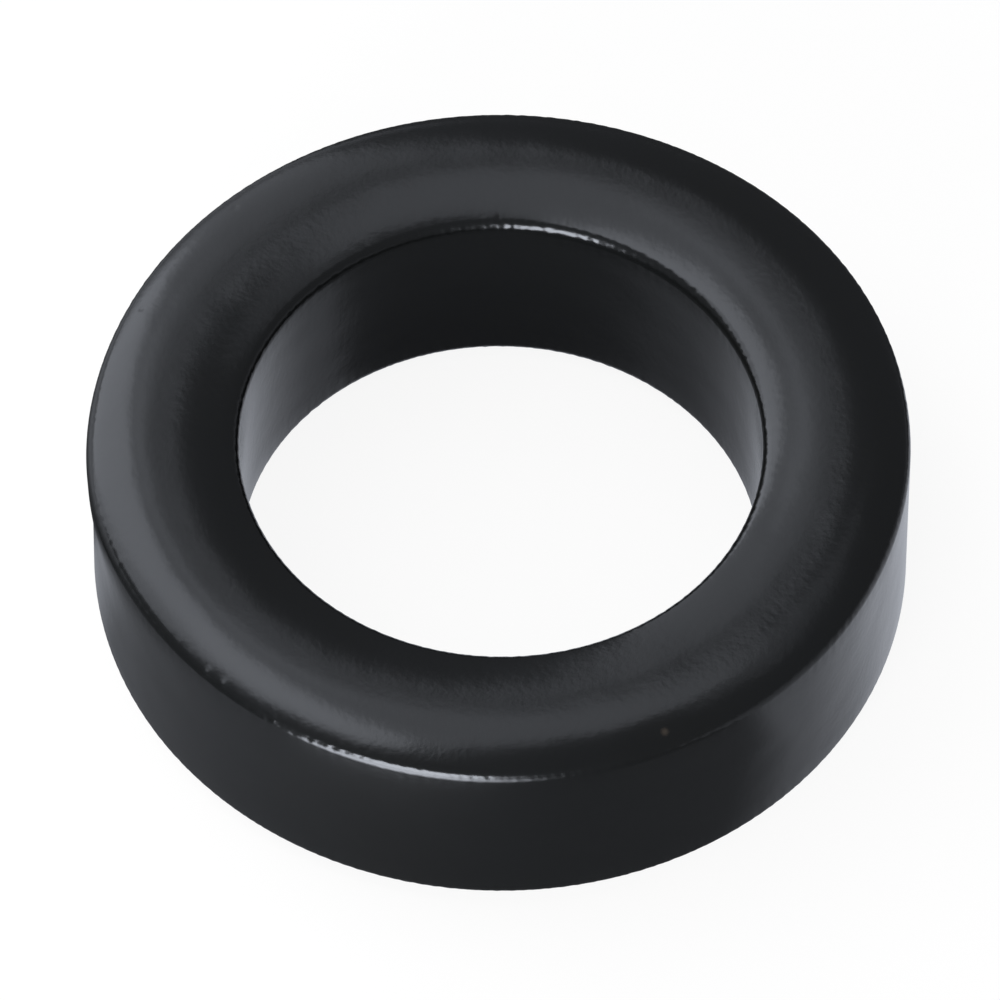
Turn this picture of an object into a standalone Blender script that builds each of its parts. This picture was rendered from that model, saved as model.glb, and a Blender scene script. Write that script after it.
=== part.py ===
"""Ferrite toroid core: one pressed and sintered ring of soft ferrite, coated all over in black.

The ring stands on its lower face. Its axis is Z, and its origin is the centre of the surface it
stands on. Both faces are crowned: each is a shallow arch across the width of the ring, level only
along a narrow strip at its top. Both walls are straight cylinders, and the four rims where the
crowns meet the walls are rounded.
"""

import math

import bpy

# Driving dimensions, in metres
OUTER_DIAMETER = 0.0418
RING_WIDTH = 0.00755  # from the bore to the outer wall, which leaves a bore 26.7 mm across
WALL_HEIGHT = 0.0104  # from rim to rim, without the two crowns
CROWN_RISE = 0.000925  # how far each face stands above its rims, were they sharp
CROWN_STRIP = 0.0005  # width of the level strip along the top of each crown
RIM_RADIUS = 0.00075  # rounding of the four rims

# How finely the round forms are divided
TURN_STEPS = 96  # a multiple of 4, so that the ring is as wide along X as along Y
CROWN_STEPS = 6  # from the level strip to a rim
RIM_STEPS = 4

# The coating
COATING_COLOUR = (0.0115, 0.0115, 0.0110, 1.0)
COATING_ROUGHNESS = 0.3
COATING_IOR = 1.5

# Worked out from the driving dimensions
HEIGHT = WALL_HEIGHT + 2 * CROWN_RISE
MIDDLE_RADIUS = (OUTER_DIAMETER - RING_WIDTH) / 2
STRIP_EDGE = MIDDLE_RADIUS + CROWN_STRIP / 2
CROWN_REACH = (RING_WIDTH - CROWN_STRIP) / 2


def arc(centre, radius, start, end, steps):
    """Points of a circular arc in the section, at equal angles.

    An angle is that of the outward normal from straight up, so the arc starts where it faces
    start and ends where it faces end.
    """
    turned = [start + (end - start) * step / steps for step in range(steps + 1)]
    return [(centre[0] + radius * math.sin(a), centre[1] + radius * math.cos(a)) for a in turned]


def upper_outer_quarter():
    """A quarter of the section, as (radius, height): from the level strip out to the outer wall.

    The crown is an arc that leaves the strip level and would drop by CROWN_RISE on its way to the
    wall. The rim is a second arc, tangent to both the crown and the wall.
    """
    crown_radius = (CROWN_REACH**2 + CROWN_RISE**2) / (2 * CROWN_RISE)
    crown_centre = (STRIP_EDGE, HEIGHT - crown_radius)
    rim_out = CROWN_REACH - RIM_RADIUS
    rim_distance = crown_radius - RIM_RADIUS
    meeting = math.asin(rim_out / rim_distance)
    rim_centre = (STRIP_EDGE + rim_out, crown_centre[1] + rim_distance * math.cos(meeting))
    crown = arc(crown_centre, crown_radius, 0, meeting, CROWN_STEPS)
    rim = arc(rim_centre, RIM_RADIUS, meeting, math.pi / 2, RIM_STEPS)
    return crown + rim[1:]


def ring_section():
    """The closed section of the ring, running down its outer side and up its bore."""
    quarter = upper_outer_quarter()
    outer_side = quarter + [(radius, HEIGHT - height) for radius, height in reversed(quarter)]
    bore_side = [(2 * MIDDLE_RADIUS - radius, height) for radius, height in reversed(outer_side)]
    return outer_side + bore_side


def turned_ring(name, section):
    """An object whose closed section, drawn in the XZ plane, is turned once round the Z axis."""
    count = len(section)
    mesh = bpy.data.meshes.new(name)
    corners = [(radius, 0, height) for radius, height in section]
    mesh.from_pydata(corners, [(i, (i + 1) % count) for i in range(count)], [])
    ring = bpy.data.objects.new(name, mesh)
    turn = ring.modifiers.new("turn", "SCREW")
    turn.axis = "Z"
    turn.angle = 2 * math.pi
    turn.screw_offset = 0
    turn.steps = TURN_STEPS
    turn.render_steps = TURN_STEPS
    turn.use_merge_vertices = True
    turn.merge_threshold = 0.00001
    turn.use_smooth_shade = True
    return ring


def black_coating():
    """The smooth black coating that covers the whole ring."""
    material = bpy.data.materials.new("black_coating")
    material.use_nodes = True
    shader = material.node_tree.nodes["Principled BSDF"]
    shader.inputs["Base Color"].default_value = COATING_COLOUR
    shader.inputs["Metallic"].default_value = 0.0
    shader.inputs["Roughness"].default_value = COATING_ROUGHNESS
    shader.inputs["IOR"].default_value = COATING_IOR
    material.diffuse_color = COATING_COLOUR
    return material


def main():
    for old in list(bpy.data.objects):
        bpy.data.objects.remove(old, do_unlink=True)
    parts = bpy.data.collections.new("ferrite_toroid_core")
    bpy.context.scene.collection.children.link(parts)
    core = turned_ring("toroid_core", ring_section())
    core.data.materials.append(black_coating())
    parts.objects.link(core)


main()
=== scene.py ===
"""Ferrite toroid core, dressed: one pressed ring under its black epoxy coating, on a pale floor.

The ring is one turned surface. Its section is worked out from the CAD part's sizes. Added to it
is what the press, the kiln and the coating left on this one: the lean of its crown, a rim that
is a little out of round, grains along the rims, and a few small lumps and nicks.
"""

import math

import bpy
import numpy as np
from mathutils import Matrix, Vector


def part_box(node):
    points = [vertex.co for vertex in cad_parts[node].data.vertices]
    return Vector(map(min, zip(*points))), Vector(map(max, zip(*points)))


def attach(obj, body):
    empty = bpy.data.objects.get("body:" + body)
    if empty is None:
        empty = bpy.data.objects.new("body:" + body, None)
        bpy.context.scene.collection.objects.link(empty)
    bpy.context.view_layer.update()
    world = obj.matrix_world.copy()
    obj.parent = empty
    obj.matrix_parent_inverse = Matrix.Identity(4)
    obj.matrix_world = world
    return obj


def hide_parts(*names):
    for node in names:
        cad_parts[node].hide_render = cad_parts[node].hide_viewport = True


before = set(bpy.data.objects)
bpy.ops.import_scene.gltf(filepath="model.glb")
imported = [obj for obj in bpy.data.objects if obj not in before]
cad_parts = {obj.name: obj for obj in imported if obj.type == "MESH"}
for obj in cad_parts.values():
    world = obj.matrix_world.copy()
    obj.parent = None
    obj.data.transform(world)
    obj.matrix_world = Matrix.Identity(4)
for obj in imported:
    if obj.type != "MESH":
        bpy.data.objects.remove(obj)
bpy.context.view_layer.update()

MM = 0.001

# The section: the CAD part's sizes, and how the pressed crown leans. It meets the outer rims
# steeply and the rims of the bore gently, which leaves the outer rims a little lower.
RING_WIDTH = 7.55 * MM
RING_MIDDLE = 6.125 * MM  # half the ring's height
CROWN_STRIP = 0.5 * MM
CROWN_SHIFT = 0.2 * MM  # how far the crown's top lies outwards of the middle of the width
OUTER_SLOPE = math.radians(33.0)
OUTER_RIM_RADIUS = 0.6 * MM
BORE_SLOPE = math.radians(20.0)
BORE_RIM_RADIUS = 0.75 * MM

# How the ring warped: how far its outer rims rise towards its two sides, and where the rounding
# of the upper outer rim is wider or narrower, as azimuth and spread in degrees, and how much
# farther out the rounding ends in mm
SIDE_LIFT = 0.15 * MM
OUT_OF_ROUND = [(184.0, 26.0, 0.29), (42.0, 26.0, 0.20), (122.0, 20.0, -0.12)]

# How finely the ring is divided: 1140 x 86 four-sided faces
TURN_STEPS = 1140
CROWN_STEPS = 9
RIM_STEPS = 8
WALL_STEPS = 4

# Grains of the coating along the rims. The real ones are finer, and are drawn as coarse as they
# need to be to show.
GRAIN_SPACING = 0.45 * MM
GRAIN_HEIGHT = 0.005 * MM
GRAIN_WAVES = 24
OUTER_GRAIN_SEED = 3
BORE_GRAIN_SEED = 5

# Lumps and nicks of the coating on the upper rims: azimuth in degrees, distance from the axis,
# size and height in mm. A height below 0 is a nick.
LUMPS = [
    (202.0, 20.80, 0.22, 0.022),
    (224.4, 20.80, 0.14, 0.065),
    (227.8, 20.75, 0.12, 0.050),
    (236.9, 20.80, 0.12, 0.050),
    (91.1, 13.70, 0.10, -0.020),
    (84.2, 13.65, 0.10, -0.015),
    (99.3, 13.50, 0.10, 0.025),
    (120.1, 13.70, 0.10, 0.022),
    (320.0, 20.75, 0.14, -0.030),
]

# The coating's colours
EPOXY_BLACK = "#121210"
EPOXY_BLUISH = "#111212"
DUST_BROWN = "#3A332B"

# The coating's patterns: the size of its clouds, waves and orange peel in mm, and the height of
# the last two. The peel is as fine as still shows in the render.
CLOUD_SIZE = 9
WAVE_SIZE = 3.5
WAVE_HEIGHT = 0.045 * MM
PEEL_SIZE = 0.35
PEEL_HEIGHT = 0.008 * MM
PIT_DEPTH = 0.02 * MM
GLOSSY_ROUGHNESS = 0.19
SATIN_ROUGHNESS = 0.22
DARK_SPECK_ROUGHNESS = 0.25  # more than the coating round it

# Marks on the upper face: azimuth in degrees, distance from the axis, height and size in mm
LEFT_PIT = (157.1, 20.04, 11.68, 0.3)
BACK_PIT = (134.2, 19.8, 11.79, 0.35)
WARM_SPECK = (294.7, 20.04, 11.68, 0.3)
DARK_SPECK = (286.7, 17.15, 12.25, 0.4)

# The floor and the light
FLOOR_EDGE = 2.0
FLOOR_GAP = 0.02 * MM
CARD_GREY = "#BBBBBB"
SHADOW_GREY = "#605E5A"
SHOWN_WHITE = 0.91
DAYLIGHT = "#EFF4FF"

# The camera: lens and sensor in mm, distance in m, angles in degrees
CAMERA_LENS = 635.2
CAMERA_SENSOR = 36.0
CAMERA_DISTANCE = 0.9046
CAMERA_ELEVATION = 54.67
CAMERA_ROLL = 0.5042
CAMERA_SHIFT = -0.0006


def linear(hex_colour):
    """The linear RGBA of an sRGB hex colour."""
    parts = [int(hex_colour[i : i + 2], 16) / 255 for i in (1, 3, 5)]
    lit = [c / 12.92 if c <= 0.04045 else ((c + 0.055) / 1.055) ** 2.4 for c in parts]
    return (*lit, 1.0)


def arc(centre, radius, start, end, steps):
    """Points and outward normals of a circular arc, as arrays of (radius, height).

    Point = centre + radius * (sin a, cos a), with a going evenly from start to end.
    """
    turned = np.linspace(start, end, steps + 1)
    normal = np.stack([np.sin(turned), np.cos(turned)], axis=1)
    return np.asarray(centre) + radius * normal, normal


def side_section(reach, slope, rim_radius, height):
    """One side of the section, from the upper strip's edge to the lower one's.

    The crown's arc leaves the strip level and reaches the given slope, the rim's arc takes it on
    to the wall, and the lower half mirrors the upper. Returned are the distances from the strip's
    edge and the heights, the outward normals, and how much each point is on a rim.
    """
    crown_radius = (reach - rim_radius * (1 - math.sin(slope))) / math.sin(slope)
    rim_height = height - crown_radius + (crown_radius - rim_radius) * math.cos(slope)
    rim_centre = (reach - rim_radius, rim_height)
    crown, crown_normal = arc((0, height - crown_radius), crown_radius, 0, slope, CROWN_STEPS)
    rim, rim_normal = arc(rim_centre, rim_radius, slope, math.pi / 2, RIM_STEPS)
    down = np.linspace(rim_height, height / 2, WALL_STEPS + 1)[1:]
    wall = np.stack([np.full(WALL_STEPS, reach), down], axis=1)
    wall_normal = np.tile([1.0, 0.0], (WALL_STEPS, 1))
    points = np.concatenate([crown, rim[1:], wall])
    normals = np.concatenate([crown_normal, rim_normal[1:], wall_normal])
    on_rim = np.zeros(len(points))
    on_rim[CROWN_STEPS : CROWN_STEPS + RIM_STEPS + 1] = np.sin(np.linspace(0, math.pi, RIM_STEPS + 1))
    flip = np.array([1.0, -1.0])
    points = np.concatenate([points, points[-2::-1] * flip + np.array([0.0, height])])
    normals = np.concatenate([normals, normals[-2::-1] * flip])
    return points, normals, np.concatenate([on_rim, on_rim[-2::-1]])


def crest_radius(outer_radius):
    """How far the middle of the crown's level strip is from the ring's axis."""
    return outer_radius - RING_WIDTH / 2 + CROWN_SHIFT


def ring_section(outer_radius, height):
    """The closed section of the ring: points, outward normals and how much each is on a rim."""
    outer_edge = crest_radius(outer_radius) + CROWN_STRIP / 2
    bore_edge = crest_radius(outer_radius) - CROWN_STRIP / 2
    outer_reach = outer_radius - outer_edge
    bore_reach = bore_edge - (outer_radius - RING_WIDTH)
    outer, outer_normal, outer_rim = side_section(outer_reach, OUTER_SLOPE, OUTER_RIM_RADIUS, height)
    bore, bore_normal, bore_rim = side_section(bore_reach, BORE_SLOPE, BORE_RIM_RADIUS, height)
    mirror = np.array([-1.0, 1.0])
    outer = outer + np.array([outer_edge, 0.0])
    bore = (bore * mirror + np.array([bore_edge, 0.0]))[::-1]
    points = np.concatenate([outer, bore])
    normals = np.concatenate([outer_normal, (bore_normal * mirror)[::-1]])
    return points, normals, np.concatenate([outer_rim, bore_rim[::-1]])


def side_lift(section, turned, outer_radius):
    """How far the warped ring rises at its sides: SIDE_LIFT * share * cos(t)^2.

    The share grows from the crown's top to the outer wall, and from the middle of the wall up.
    """
    crest = crest_radius(outer_radius)
    share = np.clip((section[:, 0] - crest) / (outer_radius - crest), 0, 1) ** 2
    share *= np.clip(section[:, 1] / RING_MIDDLE - 1, 0, 1)
    return SIDE_LIFT * share[:, None] * np.cos(turned) ** 2


def out_of_round(section, turned, outer_radius):
    """How far the upper outer rim and the wall under it lie outwards and down, by azimuth.

    The rim's arc is scaled about the crown's end, so that it stays tangent to the crown. The
    scale adds shift * exp(-(angle / spread)^2) to how far the rim reaches out, and the wall fades
    from there to its own radius at its middle.
    """
    swell = np.zeros(len(turned))
    for azimuth, spread, shift in OUT_OF_ROUND:
        angle = (np.degrees(turned) - azimuth + 180.0) % 360.0 - 180.0
        swell += shift * MM * np.exp(-((angle / spread) ** 2))
    rim_out = OUTER_RIM_RADIUS * (1 - math.sin(OUTER_SLOPE))
    rim_down = OUTER_RIM_RADIUS * math.cos(OUTER_SLOPE)
    past_crown = section[:, 0] > outer_radius - rim_out - 0.001 * MM
    crown_end = section[past_crown, 1].max()
    out = np.clip((section[:, 0] - outer_radius) / rim_out + 1, 0, 1)
    down = np.clip((crown_end - section[:, 1]) / rim_down, 0, 1) * past_crown
    wall = np.clip((section[:, 1] - RING_MIDDLE) / (crown_end - rim_down - RING_MIDDLE), 0, 1)
    fade = wall**2 * (3 - 2 * wall)
    outward = (out * fade)[:, None] * swell
    return outward, (down * fade)[:, None] * swell * rim_down / rim_out


def grain_waves(along, turned, radius, seed):
    """Fine uneven beads, by the place along the section and the angle round the ring.

    They are a sum of cosine waves in all directions, about one spacing long. Each fits the circle
    a whole number of times, so that the beads close on themselves.
    """
    dice = np.random.default_rng(seed)
    heading = dice.uniform(-1.1, 1.1, GRAIN_WAVES)
    pitch = 2 * math.pi / (GRAIN_SPACING * dice.uniform(0.65, 1.8, GRAIN_WAVES))
    whole = np.round(pitch * np.cos(heading) * radius)
    across = pitch * np.sin(heading)
    phase = dice.uniform(0, 2 * math.pi, GRAIN_WAVES)
    angle = whole * turned[None, :, None] + across * along[:, None, None] + phase
    return np.cos(angle).sum(axis=2) / math.sqrt(GRAIN_WAVES / 2)


def grains(section, turned, on_rim, outer_radius):
    """The height of the grains on the rims: GRAIN_HEIGHT * how much it is a rim * the beads."""
    steps = np.linalg.norm(np.diff(section, axis=0, prepend=section[:1]), axis=1)
    along = np.cumsum(steps)
    outer_beads = grain_waves(along, turned, outer_radius, OUTER_GRAIN_SEED)
    bore_beads = grain_waves(along, turned, outer_radius - RING_WIDTH, BORE_GRAIN_SEED)
    outward = section[:, 0] > outer_radius - RING_WIDTH / 2
    return GRAIN_HEIGHT * on_rim[:, None] * np.where(outward[:, None], outer_beads, bore_beads)


def lumps(points, section):
    """The height of the lumps and nicks: the sum of height * exp(-(distance / size)^2).

    Each is centred on the nearest point of the upper half, and on the higher of two as near.
    """
    upper = section[:, 1] > section[:, 1].mean()
    lift = np.zeros(points.shape[:2])
    for azimuth, radius, size, height in LUMPS:
        away = np.abs(section[:, 0] - radius * MM) - 0.001 * section[:, 1]
        nearest = np.argmin(np.where(upper, away, 1.0))
        centre = points[nearest, round(azimuth / 360 * TURN_STEPS)]
        distance = np.linalg.norm(points - centre, axis=2)
        lift += height * MM * np.exp(-((distance / (size * MM)) ** 2))
    return lift


def turned_about_z(radial, upward, turned):
    """The vectors (radial cos t, radial sin t, upward), by place along the section and angle t."""
    upward = upward + 0 * turned
    return np.stack([radial * np.cos(turned), radial * np.sin(turned), upward], axis=2)


def closed_surface(name, points):
    """An object with a smooth face between four neighbours of a grid that closes both ways."""
    lines, steps = points.shape[:2]
    line, step = np.meshgrid(np.arange(lines), np.arange(steps), indexing="ij")
    next_line = (line + 1) % lines
    next_step = (step + 1) % steps
    corners = [(line, step), (next_line, step), (next_line, next_step), (line, next_step)]
    faces = np.stack([a * steps + b for a, b in corners], axis=2).reshape(-1, 4)
    mesh = bpy.data.meshes.new(name)
    mesh.from_pydata(points.reshape(-1, 3).tolist(), [], faces.tolist())
    mesh.polygons.foreach_set("use_smooth", np.ones(len(faces), bool))
    mesh.update()
    surface = bpy.data.objects.new(name, mesh)
    bpy.context.scene.collection.objects.link(surface)
    return surface


def coated_ring():
    """The ring's whole surface: its section turned about Z, warped, and moved by the coating.

    Point = ((r + o) cos t, (r + o) sin t, z + w - d) + h * normal. o and d are how far the rim is
    out of round, outwards and down, w is the lift at the sides, and h is the height of the
    grains, lumps and nicks.
    """
    low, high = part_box("toroid_core")
    section, normal, on_rim = ring_section(high.x, high.z - low.z)
    turned = np.arange(TURN_STEPS) * 2 * math.pi / TURN_STEPS
    outward, down = out_of_round(section, turned, high.x)
    height = section[:, 1:] + side_lift(section, turned, high.x) - down
    points = turned_about_z(section[:, :1] + outward, height, turned)
    facing = turned_about_z(normal[:, :1], normal[:, 1:], turned)
    lift = grains(section, turned, on_rim, high.x) + lumps(points, section)
    return closed_surface("coated_ring", points + lift[:, :, None] * facing)


def add(material, kind, inputs=None, **settings):
    """Adds a node to a material with its settings. An input is a value or another node's socket."""
    node = material.node_tree.nodes.new(kind)
    for name, value in settings.items():
        setattr(node, name, value)
    for name, value in (inputs or {}).items():
        if isinstance(value, bpy.types.NodeSocket):
            material.node_tree.links.new(value, node.inputs[name])
        else:
            node.inputs[name].default_value = value
    return node


def empty_material(name):
    """A new material with no nodes in it."""
    material = bpy.data.materials.new(name)
    material.use_nodes = True
    material.node_tree.nodes.clear()
    return material


def point_in_mm(material):
    """Each point of a piece, in mm."""
    point = add(material, "ShaderNodeTexCoord").outputs["Object"]
    inputs = {"Vector": point, "Scale": 1 / MM}
    return add(material, "ShaderNodeVectorMath", inputs, operation="SCALE").outputs["Vector"]


def ramp(material, value, places, tones=(0.0, 1.0)):
    """A smooth step from one tone to another, as a value goes from one place to another."""
    step = add(material, "ShaderNodeMapRange", {
        "Value": value,
        "From Min": places[0],
        "From Max": places[1],
        "To Min": tones[0],
        "To Max": tones[1],
    }, interpolation_type="SMOOTHSTEP")
    return step.outputs["Result"]


def combine(material, operation, *values):
    """The result of a sum, product or the like."""
    inputs = dict(enumerate(values))
    return add(material, "ShaderNodeMath", inputs, operation=operation).outputs["Value"]


def blend(material, share, one, other):
    """One tone where the share is 0, the other where it is 1."""
    inputs = {"Factor": share, "A": one, "B": other}
    return add(material, "ShaderNodeMix", inputs).outputs["Result"]


def tinted(coat, share, one, other):
    """One colour where the share is 0, the other where it is 1."""
    inputs = {"Factor": share, "A": one, "B": other}
    return add(coat, "ShaderNodeMix", inputs, data_type="RGBA").outputs["Result"]


def clouded(coat, point, size, detail):
    """Soft noise between 0 and 1, with lumps of a size in mm."""
    inputs = {"Vector": point, "Scale": 1 / size, "Detail": detail}
    return add(coat, "ShaderNodeTexNoise", inputs).outputs["Fac"]


def mark(coat, point, azimuth, radius, height, size):
    """How much each point belongs to a mark: 1 at its centre, fading to 0 at its size."""
    turned = math.radians(azimuth)
    centre = (radius * math.cos(turned), radius * math.sin(turned), height)
    distance = add(coat, "ShaderNodeVectorMath", {0: point, 1: centre}, operation="DISTANCE")
    return ramp(coat, distance.outputs["Value"], (0.0, size), (1.0, 0.0))


def bump(coat, height, distance, normal=None):
    """The normal of the surface moved outwards by a height times a distance."""
    inputs = {"Height": height, "Strength": 1.0, "Distance": distance}
    if normal:
        inputs["Normal"] = normal
    return add(coat, "ShaderNodeBump", inputs).outputs["Normal"]


def epoxy_coating():
    """Black epoxy coating on ferrite, sprayed on and stoved.

    The resin flows out before it sets, which gives the eye a near black with smooth satin
    reflections, a faint waviness and orange peel, and a few pits and specks of dust.
    """
    coat = empty_material("black_epoxy_coating")
    point = point_in_mm(coat)
    clouds = clouded(coat, point, CLOUD_SIZE, 2.0)
    waves = clouded(coat, point, WAVE_SIZE, 1.0)
    peel = clouded(coat, point, PEEL_SIZE, 2.0)
    pits = combine(coat, "ADD", mark(coat, point, *LEFT_PIT), mark(coat, point, *BACK_PIT))
    normal = bump(coat, waves, WAVE_HEIGHT)
    normal = bump(coat, peel, PEEL_HEIGHT, normal)
    normal = bump(coat, pits, -PIT_DEPTH, normal)
    colour = tinted(coat, clouds, linear(EPOXY_BLACK), linear(EPOXY_BLUISH))
    colour = tinted(coat, mark(coat, point, *WARM_SPECK), colour, linear(DUST_BROWN))
    roughness = ramp(coat, clouds, (0.3, 0.7), (GLOSSY_ROUGHNESS, SATIN_ROUGHNESS))
    dull = mark(coat, point, *DARK_SPECK)
    roughness = combine(coat, "MULTIPLY_ADD", dull, DARK_SPECK_ROUGHNESS, roughness)
    shader = add(coat, "ShaderNodeBsdfPrincipled", {
        "Base Color": colour,
        "Roughness": roughness,
        "IOR": 1.5,
        "Normal": normal,
    })
    add(coat, "ShaderNodeOutputMaterial", {"Surface": shader.outputs["BSDF"]})
    return coat


def painted_floor_in_front(card, x, y):
    """The floor's painted light and shade in front of the ring and beside it, as the walls mirror it.

    It is painted dim, as shade, on the near side of a limit that runs from the left down towards the
    right, and painted light beyond it. Both fade at the far left.
    """
    limit = ramp(card, x, (-15.0, 5.0), (-1.5, -14.5))
    past_right = combine(card, "MAXIMUM", combine(card, "SUBTRACT", x, 19.0), 0.0)
    limit = combine(card, "MULTIPLY_ADD", past_right, -1.2, limit)
    light_share = ramp(card, combine(card, "SUBTRACT", y, limit), (-4.0, 1.2))
    left_end = ramp(card, combine(card, "MULTIPLY_ADD", x, -1.8, y), (41.0, 44.0), (1.0, 0.25))
    left_fade = combine(card, "MULTIPLY", ramp(card, x, (-28.0, -16.0), (0.1, 1.0)), left_end)
    light = combine(card, "MULTIPLY", ramp(card, y, (-15.0, -4.0), (0.5, 0.85)), left_fade)
    dim = ramp(card, x, (-20.0, 5.0), (0.26, 0.15))
    dim = combine(card, "MULTIPLY", dim, ramp(card, x, (-27.0, -22.5), (0.4, 1.0)))
    return blend(card, light_share, dim, light)


def painted_floor_behind(card, x, y):
    """The floor's painted light and shade behind the ring: painted light at the far left, and painted
    shade elsewhere.
    """
    across = ramp(card, x, (-50.0, -24.0), (0.8, 0.1))
    return combine(card, "MULTIPLY", across, ramp(card, y, (-5.0, 18.0), (0.25, 1.0)))


def painted_softbox_pool(card, x, y):
    """A painted pool of the front softbox's light on the floor, in a wedge that opens away from the
    ring.

    The wedge points to azimuth 247 degrees, and brightens with the distance from the ring.
    """
    beside = combine(card, "MULTIPLY_ADD", x, 0.92, combine(card, "MULTIPLY", y, -0.39))
    away = combine(card, "MULTIPLY_ADD", x, -0.39, combine(card, "MULTIPLY", y, -0.92))
    aside = combine(card, "DIVIDE", beside, combine(card, "MAXIMUM", away, 1.0))
    wedge = ramp(card, aside, (-0.32, -0.19))
    wedge = combine(card, "MULTIPLY", wedge, ramp(card, aside, (0.15, 0.7), (1.0, 0.0)))
    return combine(card, "MULTIPLY", wedge, ramp(card, away, (27.0, 47.0), (0.0, 10.5)))


def painted_floor_reflection(card):
    """Painted reflection: the painted light and shade that the ring's walls mirror of the floor round
    it, by place, in mm from the ring's axis.

    It is painted dim in front, painted light on the right and on the near left, and painted dark
    behind the ring. Farther out in front lies the painted pool of the front softbox's light. Inside
    the bore it lets through what room_light gives below the horizon.
    """
    point = point_in_mm(card)
    place = add(card, "ShaderNodeSeparateXYZ", {"Vector": point}).outputs
    x, y = place["X"], place["Y"]
    # Painted light and shade of the floor round the ring, plus a painted pool of the front softbox's
    # light, all glowing as emission
    behind_share = ramp(card, combine(card, "MULTIPLY_ADD", x, -0.3, y), (7.0, 10.0))
    tone = blend(card, behind_share, painted_floor_in_front(card, x, y), painted_floor_behind(card, x, y))
    tone = combine(card, "ADD", tone, painted_softbox_pool(card, x, y))
    inputs = {"Color": linear(DAYLIGHT), "Strength": tone}
    outside = add(card, "ShaderNodeEmission", inputs).outputs["Emission"]
    inside = add(card, "ShaderNodeBsdfTransparent").outputs["BSDF"]
    radius = add(card, "ShaderNodeVectorMath", {0: point}, operation="LENGTH").outputs["Value"]
    inputs = {0: ramp(card, radius, (16.9, 17.1)), 1: inside, 2: outside}
    return add(card, "ShaderNodeMixShader", inputs).outputs["Shader"]


def pale_floor():
    """The pale floor: a wide sheet of card, just under the ring.

    The camera sees it white, with the ring's faint shadow. Glossy rays see painted light and shade
    on it, glowing by place, instead of the lit card.
    """
    card = empty_material("pale_card")
    ray = add(card, "ShaderNodeLightPath").outputs
    lit = add(card, "ShaderNodeBsdfDiffuse", {"Color": linear(CARD_GREY)}).outputs["BSDF"]
    # What glossy rays see of the floor is a painted reflection: painted light and shade, not the lit
    # card
    painted_reflection = painted_floor_reflection(card)
    unseen = add(card, "ShaderNodeMixShader", {0: ray["Is Glossy Ray"], 1: lit, 2: painted_reflection})
    shadowed = add(card, "ShaderNodeBsdfDiffuse", {"Color": linear(SHADOW_GREY)}).outputs["BSDF"]
    white = add(card, "ShaderNodeEmission", {"Strength": SHOWN_WHITE}).outputs["Emission"]
    shown = add(card, "ShaderNodeAddShader", {0: shadowed, 1: white})
    inputs = {0: ray["Is Camera Ray"], 1: unseen.outputs["Shader"], 2: shown.outputs["Shader"]}
    mix = add(card, "ShaderNodeMixShader", inputs)
    add(card, "ShaderNodeOutputMaterial", {"Surface": mix.outputs["Shader"]})
    mesh = bpy.data.meshes.new("floor")
    edge = FLOOR_EDGE
    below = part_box("toroid_core")[0].z - FLOOR_GAP
    corners = [(-edge, -edge, below), (edge, -edge, below), (edge, edge, below), (-edge, edge, below)]
    mesh.from_pydata(corners, [], [(0, 1, 2, 3)])
    mesh.materials.append(card)
    floor = bpy.data.objects.new("floor", mesh)
    bpy.context.scene.collection.objects.link(floor)
    return floor


def direction(azimuth, elevation):
    """The unit vector towards a point of the room, in degrees from +X and above the floor."""
    turned, raised = math.radians(azimuth), math.radians(elevation)
    flat = math.cos(raised)
    return Vector((flat * math.cos(turned), flat * math.sin(turned), math.sin(raised)))


def softbox(name, brightness, size, place, away, roll=0.0):
    """A softbox: its place from the ring's centre in m, and the direction that its back looks in.

    Its brightness is that of its front, where 1 is white, and its roll is in degrees.
    """
    lamp = bpy.data.lights.new(name, "AREA")
    lamp.shape = "RECTANGLE"
    lamp.size, lamp.size_y = size
    lamp.color = linear(DAYLIGHT)[:3]
    lamp.energy = brightness * math.pi * size[0] * size[1]
    across = Vector((0, 0, 1)).cross(away).normalized()
    facing = Matrix((across, away.cross(across), away)).transposed().to_4x4()
    turned = facing @ Matrix.Rotation(math.radians(roll), 4, "Z")
    box = bpy.data.objects.new(name, lamp)
    box.matrix_world = Matrix.Translation(place + Vector((0, 0, RING_MIDDLE))) @ turned
    bpy.context.scene.collection.objects.link(box)


def studio_light():
    """Softboxes over the left, overhead, over the back and the right, and one low in front."""
    left = direction(175.0, 0.0)
    above = direction(142.8, 77.0)
    behind = direction(126.2, 31.9)
    right = direction(29.9, 63.9)
    front = direction(252.0, 14.0)
    between = direction(113.6, 54.0)
    softbox("left_softbox", 1.72, (0.260, 1.13), Vector((-0.177, -0.031, 0.565)), left, -21.4)
    softbox("overhead_softbox", 1.06, (0.657, 0.410), above * 0.681, above, -17.2)
    softbox("back_softbox", 0.86, (0.764, 0.812), behind * 0.790, behind, 1.8)
    softbox("right_softbox", 0.35, (0.156, 0.078), right * 0.322, right, -9.1)
    softbox("front_softbox", 13.5, (0.320, 0.300), front * 0.600, front)
    softbox("upper_back_softbox", 0.69, (0.097, 0.368), between * 0.820, between, 4.5)


def room_above(world, x, z):
    """The room's tone above the horizon: dim grey, a little lighter low on the right."""
    right_glow = ramp(world, x, (0.5, 0.85))
    right_glow = combine(world, "MULTIPLY", right_glow, ramp(world, z, (0.0, 0.4), (0.3, 0.0)))
    return combine(world, "ADD", ramp(world, z, (0.0, 0.5), (0.14, 0.2)), right_glow)


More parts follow.
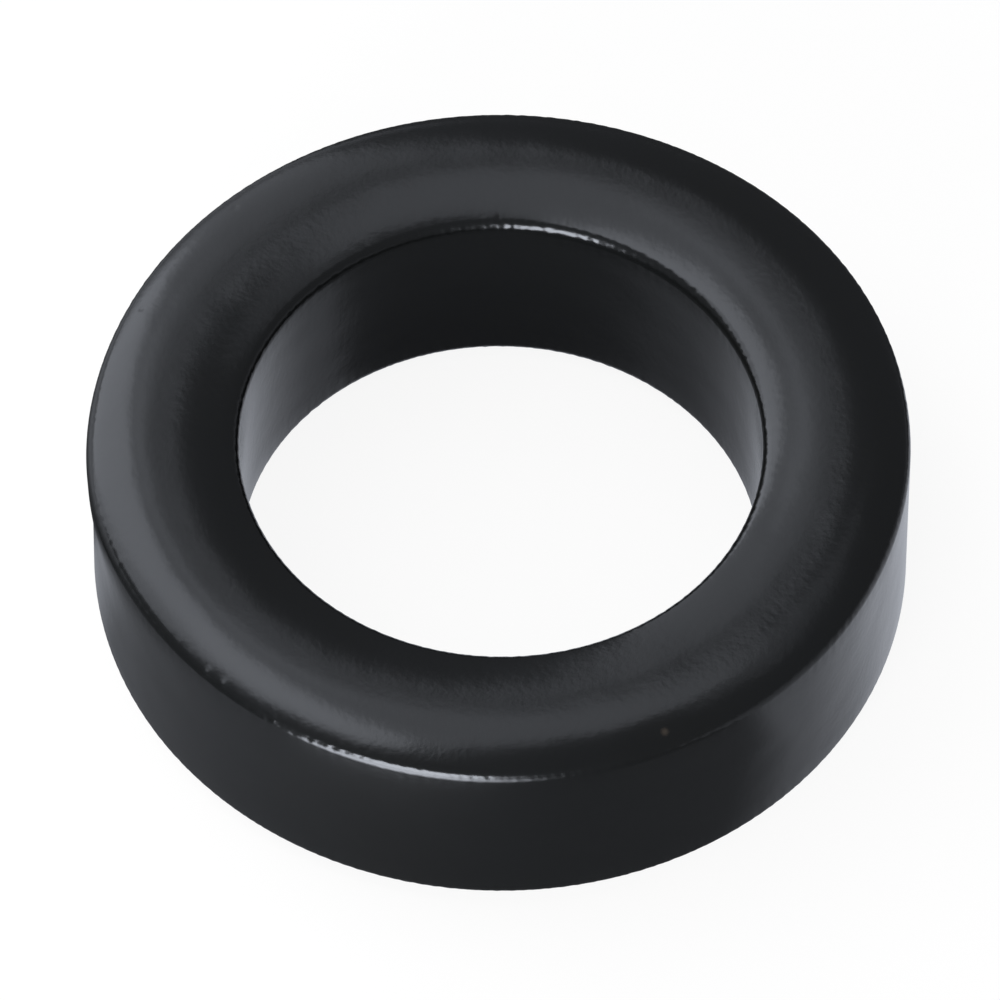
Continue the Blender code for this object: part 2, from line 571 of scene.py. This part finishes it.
def room_below(world, x, y, z):
    """The tone below the horizon: light towards the right and the back, dark towards the front."""
    left_side = ramp(world, y, (-0.45, -0.1), (0.13, 0.23))
    left_side = combine(world, "ADD", left_side, ramp(world, y, (0.0, 0.55), (0.0, 0.17)))
    left_side = combine(world, "MULTIPLY", left_side, ramp(world, z, (-0.8, -0.7), (1.0, 0.3)))
    back_light = ramp(world, y, (0.0, 0.5), (0.37, 0.68))
    right_side = blend(world, ramp(world, y, (-0.19, -0.09)), 0.12, back_light)
    return blend(world, ramp(world, x, (-0.4, -0.1)), left_side, right_side)


def room_light():
    """The room, white where the camera sees it.

    Its lower half is what the bore mirrors through the floor.
    """
    world = bpy.data.worlds.new("room")
    world.use_nodes = True
    world.node_tree.nodes.clear()
    seen = add(world, "ShaderNodeLightPath").outputs["Is Camera Ray"]
    ray = add(world, "ShaderNodeTexCoord").outputs["Generated"]
    towards = add(world, "ShaderNodeSeparateXYZ", {"Vector": ray}).outputs
    x, y, z = towards["X"], towards["Y"], towards["Z"]
    is_above = combine(world, "GREATER_THAN", z, 0.0)
    tone = blend(world, is_above, room_below(world, x, y, z), room_above(world, x, z))
    lit = add(world, "ShaderNodeBackground", {"Color": linear(DAYLIGHT), "Strength": tone})
    white = add(world, "ShaderNodeBackground", {"Color": (1, 1, 1, 1), "Strength": 1.0})
    mix = add(world, "ShaderNodeMixShader", {0: seen, 1: lit.outputs[0], 2: white.outputs[0]})
    add(world, "ShaderNodeOutputWorld", {"Surface": mix.outputs[0]})
    bpy.context.scene.world = world


def photo_camera():
    """A long lens, high above the floor, looking along +Y."""
    camera = bpy.data.cameras.new("photo_camera")
    camera.lens = CAMERA_LENS
    camera.sensor_width = CAMERA_SENSOR
    camera.clip_start = 0.05
    camera.clip_end = 10.0
    camera.shift_x = CAMERA_SHIFT
    camera.shift_y = CAMERA_SHIFT
    low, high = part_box("toroid_core")
    target = Vector((0.0, 0.0, (low.z + high.z) / 2))
    away = direction(270.0, CAMERA_ELEVATION)
    facing = away.to_track_quat("Z", "Y").to_matrix().to_4x4()
    facing = facing @ Matrix.Rotation(math.radians(CAMERA_ROLL), 4, "Z")
    eye = bpy.data.objects.new("photo_camera", camera)
    eye.matrix_world = Matrix.Translation(target + away * CAMERA_DISTANCE) @ facing
    bpy.context.scene.collection.objects.link(eye)
    bpy.context.scene.camera = eye


def main():
    """Makes the camera, the light, the floor and the ring."""
    bpy.context.scene.view_settings.view_transform = "Standard"
    photo_camera()
    room_light()
    studio_light()
    floor = pale_floor()
    ring = coated_ring()
    ring.data.materials.append(epoxy_coating())
    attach(ring, "root")
    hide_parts("toroid_core")


main()
